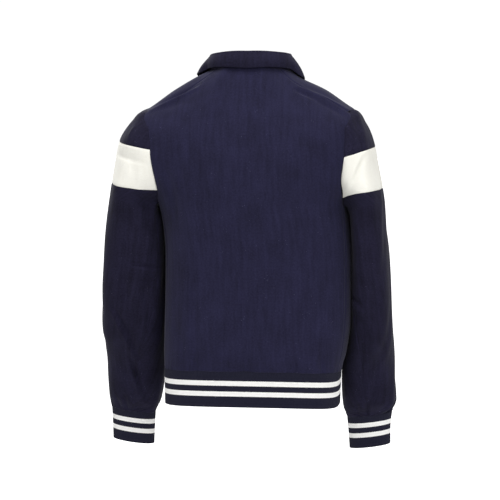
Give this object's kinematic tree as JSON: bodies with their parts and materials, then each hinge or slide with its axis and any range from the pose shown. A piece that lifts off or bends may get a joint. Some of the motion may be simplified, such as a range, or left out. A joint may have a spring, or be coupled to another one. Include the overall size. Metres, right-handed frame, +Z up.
{
  "type": "bomber jacket",
  "caption": "Wool bomber jacket in worn shape, with white upper-arm bands, striped rib hem and cuffs, a turn-down collar and a front zip.",
  "frame": {"origin": "the middle of the neck, at the height of the shoulders' inner ends", "axes": "+Z up the back, -Y out of the front, +X to the wearer's left"},
  "size_m": [0.5954, 0.266, 0.8079],
  "materials": {
    "navy_wool": "brushed navy wool",
    "off_white_wool": "brushed off-white wool",
    "navy_rib": "rib knit, navy with white stripes",
    "zip_tape": "woven navy tape",
    "zip_metal": "nickel plated"
  },
  "bodies": {
    "jacket": {"back": "navy_wool", "front_left": "navy_wool", "front_right": "navy_wool", "collar": "navy_wool", "sleeve_cap_left": "navy_wool", "sleeve_lower_left": "navy_wool", "sleeve_band_left": "off_white_wool", "cuff_left": "navy_rib", "hem_rib_front_left": "navy_rib", "zip_tape_left": "zip_tape", "zip_teeth_left": "zip_metal", "sleeve_cap_right": "navy_wool", "sleeve_lower_right": "navy_wool", "sleeve_band_right": "off_white_wool", "cuff_right": "navy_rib", "hem_rib_front_right": "navy_rib", "zip_tape_right": "zip_tape", "zip_teeth_right": "zip_metal", "hem_rib_back": "navy_rib", "zip_stop": "zip_metal", "zip_slider": "zip_metal"},
    "pull_tab": {"zip_pull": "zip_metal"}
  },
  "joints": [
    {"name": "pull_hinge", "type": "hinge", "parent": "jacket", "child": "pull_tab", "pos_m": [0, -0.08766, -0.08177], "axis": [-1, 0, 0], "range_deg": [0, 150]}
  ]
}
